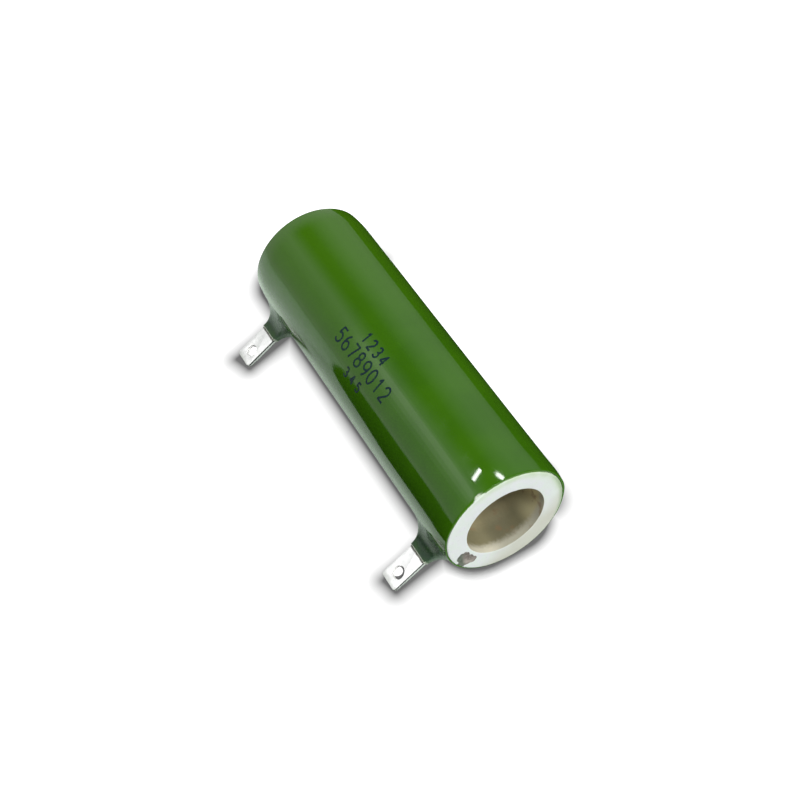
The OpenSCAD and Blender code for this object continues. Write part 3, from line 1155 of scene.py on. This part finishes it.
# How much of the floor's light is left beside the object: to the camera, and in reflections
def floorShades(finish, look):
    contact = finish.nodes.new("ShaderNodeAmbientOcclusion")
    contact.samples = look["contactSamples"]
    contact.inputs["Distance"].default_value = look["contactReach"] * mm
    close = finish.span(contact.outputs["AO"], *look["contactSpan"])
    seen = close
    for halo in look["halos"]:
        seen = finish.math("MINIMUM", seen, haloShade(finish, *halo))
    for x, y, radius in look["litSpots"]:
        away = finish.vector("DISTANCE", finish.place, (x * mm, y * mm, resistor["restZ"] * mm))
        spot = finish.zone(away, radius + look["spotBlur"], radius - look["spotBlur"])
        seen = finish.math("MAXIMUM", seen, spot)
    # reflections keep only the painted shadow close beside the lugs
    mirrored = close
    for i in look["lugHalos"]:
        *halo, fade = look["halos"][i]
        mirrored = finish.math("MINIMUM", mirrored, haloShade(finish, *halo, look["mirrorFade"] * fade))
    farther = finish.zone(finish.axes()[0], *look["farZone"], 1.0, look["farGain"])
    return seen, finish.times(mirrored, farther)


def makeFloor():
    look = floorLook
    bm = bmesh.new()
    bmesh.ops.create_grid(bm, x_segments=1, y_segments=1, size=look["size"] / 2)
    bmesh.ops.translate(bm, vec=(0, 0, resistor["restZ"] * mm), verts=bm.verts)
    finish = Finish("studioFloor", (1, 1, 1), 1.0)
    finish.nodes.remove(finish.shader)
    paper = finish.nodes.new("ShaderNodeBsdfDiffuse")
    glow = finish.nodes.new("ShaderNodeEmission")
    both = finish.nodes.new("ShaderNodeAddShader")
    path = finish.nodes.new("ShaderNodeLightPath").outputs
    camera = path["Is Camera Ray"]
    mirror = finish.math("MAXIMUM", path["Is Glossy Ray"], path["Is Transmission Ray"])
    seen, mirrored = floorShades(finish, look)
    seen = finish.times(camera, seen)
    mirrored = finish.times(mirror, mirrored)
    level = finish.times(finish.minus(1, finish.math("MAXIMUM", camera, mirror)), look["bounce"])
    level = finish.add(level, finish.times(seen, look["seenColor"]))
    level = finish.add(level, finish.times(mirrored, look["mirroredColor"]))
    ownLight = finish.add(finish.times(seen, look["seenGlow"]), finish.times(mirrored, look["mirroredGlow"]))
    tint = finish.mix(mirror, (1, 1, 1), look["mirrorTint"])
    finish.join(finish.mix(1.0, tint, level, "MULTIPLY"), paper.inputs["Color"])
    finish.join(tint, glow.inputs["Color"])
    finish.join(ownLight, glow.inputs["Strength"])
    finish.join(paper.outputs[0], both.inputs[0])
    finish.join(glow.outputs[0], both.inputs[1])
    finish.join(both.outputs[0], finish.nodes["Material Output"].inputs["Surface"])
    floor = looseObject("studioFloor", bm, [finish.material])


# A card that shows only in gloss, and its plain shader
def glossCard(name, bm):
    card = looseObject(name, bm)
    material = bpy.data.materials.new(name)
    material.use_nodes = True
    card.data.materials.append(material)
    card.visible_camera = False
    card.visible_diffuse = False
    card.visible_transmission = False
    card.visible_shadow = False
    return card, material.node_tree.nodes["Principled BSDF"]


# Dark cards beside the object, as a photographer lays them
darkCards = {
    "corners": {
        "darkCardRight": ((-900, 24), (900, 24), (900, 1500), (-900, 1500)),
        "darkCardLeft": (
            (-52, -67), (-38, -50), (-29, -43.5), (-20, -40),
            (0, -32.8), (900, -33), (900, -900), (-677, -900),
        ),
    },
    "lift": 0.3,             # above the floor, in millimetres
    "color": (0.01, 0.01, 0.01, 1),
}


def makeDarkCard(name, corners):
    bm = bmesh.new()
    height = resistor["restZ"] + darkCards["lift"]
    bm.faces.new([bm.verts.new((x * mm, y * mm, height * mm)) for x, y in corners])
    bmesh.ops.recalc_face_normals(bm, faces=bm.faces)
    shader = glossCard(name, bm)[1]
    shader.inputs["Base Color"].default_value = darkCards["color"]
    shader.inputs["Roughness"].default_value = 1.0
    shader.inputs["Specular IOR Level"].default_value = 0.0


# Soft sky: a dark middle overhead with a pale wall on each side. The stops are an angle around the
# tube, from +Y over the top, and a level.
skyLook = {
    "stops": (
        (0, 0.30), (12, 0.50), (40, 0.65), (58, 0.45), (78, 0.08), (92, 0.05), (101, 0.20),
        (105, 0.33), (109, 0.47), (113, 0.58), (117, 0.71), (121, 0.73), (125, 0.66), (133, 0.60),
        (141, 0.50), (150, 0.53), (162, 0.56), (172, 0.64), (180, 0.85),
    ),
    "fill": 0.10,                    # share of the sky's light that falls on matt surfaces
    "beyond": (0.85, 0.85, 0.85),    # behind the far end
    "beyondSpan": (-0.68, -0.86),    # of the direction's x
}


def makeSky():
    look = skyLook
    world = bpy.data.worlds.new("studioSky")
    bpy.context.scene.world = world
    world.use_nodes = True
    world.node_tree.nodes.clear()
    sky = Nodes(world.node_tree, "Generated")
    x, y, z = sky.axes()
    ramp = sky.nodes.new("ShaderNodeValToRGB")
    stops = ramp.color_ramp.elements
    while len(stops) > 1:
        stops.remove(stops[-1])
    for i, (angle, level) in enumerate(look["stops"]):
        stop = stops[0] if i == 0 else stops.new(angle / 180)
        stop.position = angle / 180
        stop.color = (level, level, level, 1)
    sky.join(sky.math("DIVIDE", sky.math("ARCTAN2", z, y), pi), ramp.inputs[0])
    around = sky.mix(sky.span(x, *look["beyondSpan"]), ramp.outputs[0], look["beyond"])
    path = sky.nodes.new("ShaderNodeLightPath").outputs
    glow = sky.nodes.new("ShaderNodeBackground")
    out = sky.nodes.new("ShaderNodeOutputWorld")
    sky.join(sky.mix(path["Is Camera Ray"], around, (1, 1, 1)), glow.inputs["Color"])
    sky.join(sky.span(path["Is Diffuse Ray"], 0, 1, 1, look["fill"]), glow.inputs["Strength"])
    sky.join(glow.outputs[0], out.inputs["Surface"])


# Lamps: direction from the object, distance and size in metres, direction of the long side, power,
# and the pieces that it is kept to, if any, which see it only in their gloss
alongStreak = (0.55, -0.26, 0.36)
greenPieces = ("enamelCoat", "inkMarking")
lugPieces = ("nearTerminal", "farTerminal")
lamps = {
    "keyLamp": ((0.50, 0.12, 0.858), 2.0, (0.7, 0.7), (0, 1, 0), 43.0, ()),
    "fillLamp": ((0.30, 0.94, 0.15), 1.6, (0.6, 0.6), (1, 0, 0), 2.5, ()),
    "frontLamp": ((0.97, 0.0, 0.22), 1.6, (0.6, 0.6), (0, 1, 0), 7.5, ()),
    "streakLamp": ((-0.443, -0.525, 0.727), 1.53, (0.70, 0.23), alongStreak, 0.18, greenPieces),
    "streakSides": ((-0.443, -0.560, 0.700), 1.565, (0.70, 0.44), alongStreak, 0.31, greenPieces),
    "streakSoft": ((-0.443, -0.580, 0.683), 1.59, (0.74, 0.72), alongStreak, 0.34, greenPieces),
    "lugLamp": ((-0.36, -0.68, 0.64), 1.2, (0.80, 0.80), (0, 1, 0), 2.25, lugPieces),
}
lampAim = (0.041, 0, 0.010)      # what they all face, in metres


def keepTo(light, pieceNames):
    lit = bpy.data.collections.new(light.name)
    for pieceName in pieceNames:
        lit.objects.link(bpy.data.objects[pieceName])
    light.light_linking.receiver_collection = lit


def makeLamp(name, direction, distance, size, longSide, power, keptTo):
    light = bpy.data.lights.new(name, "AREA")
    light.shape = "RECTANGLE"
    light.size, light.size_y = size
    light.energy = power
    lamp = bpy.data.objects.new(name, light)
    bpy.context.scene.collection.objects.link(lamp)
    back = Vector(direction).normalized()
    along = Vector(longSide)
    along = (along - back * along.dot(back)).normalized()
    turn = Matrix((along, back.cross(along), back)).transposed().to_4x4()
    lamp.matrix_world = Matrix.Translation(Vector(lampAim) + back * distance) @ turn
    if keptTo:
        lamp.visible_diffuse = False
        keepTo(lamp, keptTo)


# The camera, as fitted to the photograph
cameraFit = {
    "place": (192.4325, -76.3601, 254.0604),
    "right": (0.47988303, 0.8713789, -0.10203476),
    "down": (0.66033144, -0.43531086, -0.61193696),
    "lens": 66.57,
    "sensor": 36,
    "picture": 800,          # width and height in pixels
}


def makeCamera():
    camera = bpy.data.cameras.new("camera")
    camera.lens = cameraFit["lens"]
    camera.sensor_width = cameraFit["sensor"]
    camera.clip_start = 0.01
    camera.clip_end = 20
    holder = bpy.data.objects.new("camera", camera)
    bpy.context.scene.collection.objects.link(holder)
    right, up = Vector(cameraFit["right"]), -Vector(cameraFit["down"])
    turn = Matrix((right, up, right.cross(up))).transposed().to_4x4()
    holder.matrix_world = Matrix.Translation(Vector(cameraFit["place"]) * mm) @ turn
    bpy.context.scene.camera = holder


# Two small bars of light near the end, kept to the enamel's gloss. Each is a card, shaped so that it
# looks straight in the round enamel.
highlights = {
    # where each bar begins and ends in the picture, in pixels
    "ends": {
        "highlightLeft": ((480.3, 469.2), (473.0, 480.3)),
        "highlightRight": ((496.2, 473.5), (503.6, 478.7)),
    },
    "width": 3.8,            # in pixels
    "distance": 800,         # from the enamel to the card, in millimetres
    "glow": 27,
    "steps": 8,
}


# The direction from the camera that shows at a pixel
def sightLine(x, y):
    right, down = Vector(cameraFit["right"]), Vector(cameraFit["down"])
    middle = cameraFit["picture"] / 2
    reach = cameraFit["lens"] / cameraFit["sensor"] * cameraFit["picture"]
    return (right.cross(down) + right * ((x - middle) / reach) + down * ((y - middle) / reach)).normalized()


# Follows a ray from the camera to the enamel and off it
def mirroredPoint(piece, eye, ray):
    _, spot, _, index = piece.ray_cast(eye, ray)
    corners = [piece.data.vertices[i] for i in piece.data.polygons[index].vertices]
    weights = poly_3d_calc([corner.co for corner in corners], spot)
    normal = sum((corner.normal * weight for corner, weight in zip(corners, weights)), Vector()).normalized()
    return spot + (ray - 2 * ray.dot(normal) * normal) * highlights["distance"] * mm


def makeHighlight(name, start, end):
    piece = bpy.data.objects["enamelCoat"]
    eye = Vector(cameraFit["place"]) * mm
    start, end = Vector(start), Vector(end)
    along = end - start
    across = Vector((-along.y, along.x)).normalized() * highlights["width"]
    bm = bmesh.new()
    bmesh.ops.create_grid(bm, x_segments=highlights["steps"], y_segments=2, size=0.5)
    for vert in bm.verts:
        x, y = (start + end) / 2 + along * vert.co.x + across * vert.co.y
        vert.co = mirroredPoint(piece, eye, sightLine(x, y))
    card, shader = glossCard(name, bm)
    shader.inputs["Base Color"].default_value = (0, 0, 0, 1)
    shader.inputs["Emission Color"].default_value = (1, 1, 1, 1)
    shader.inputs["Emission Strength"].default_value = highlights["glow"]
    keepTo(card, (piece.name,))


makeFloor()
for cardName, corners in darkCards["corners"].items():
    makeDarkCard(cardName, corners)
makeSky()
for lampName, values in lamps.items():
    makeLamp(lampName, *values)
bpy.context.view_layer.update()
for barName, (start, end) in highlights["ends"].items():
    makeHighlight(barName, start, end)
makeCamera()
bpy.context.scene.view_settings.view_transform = "Standard"
print("stage done")
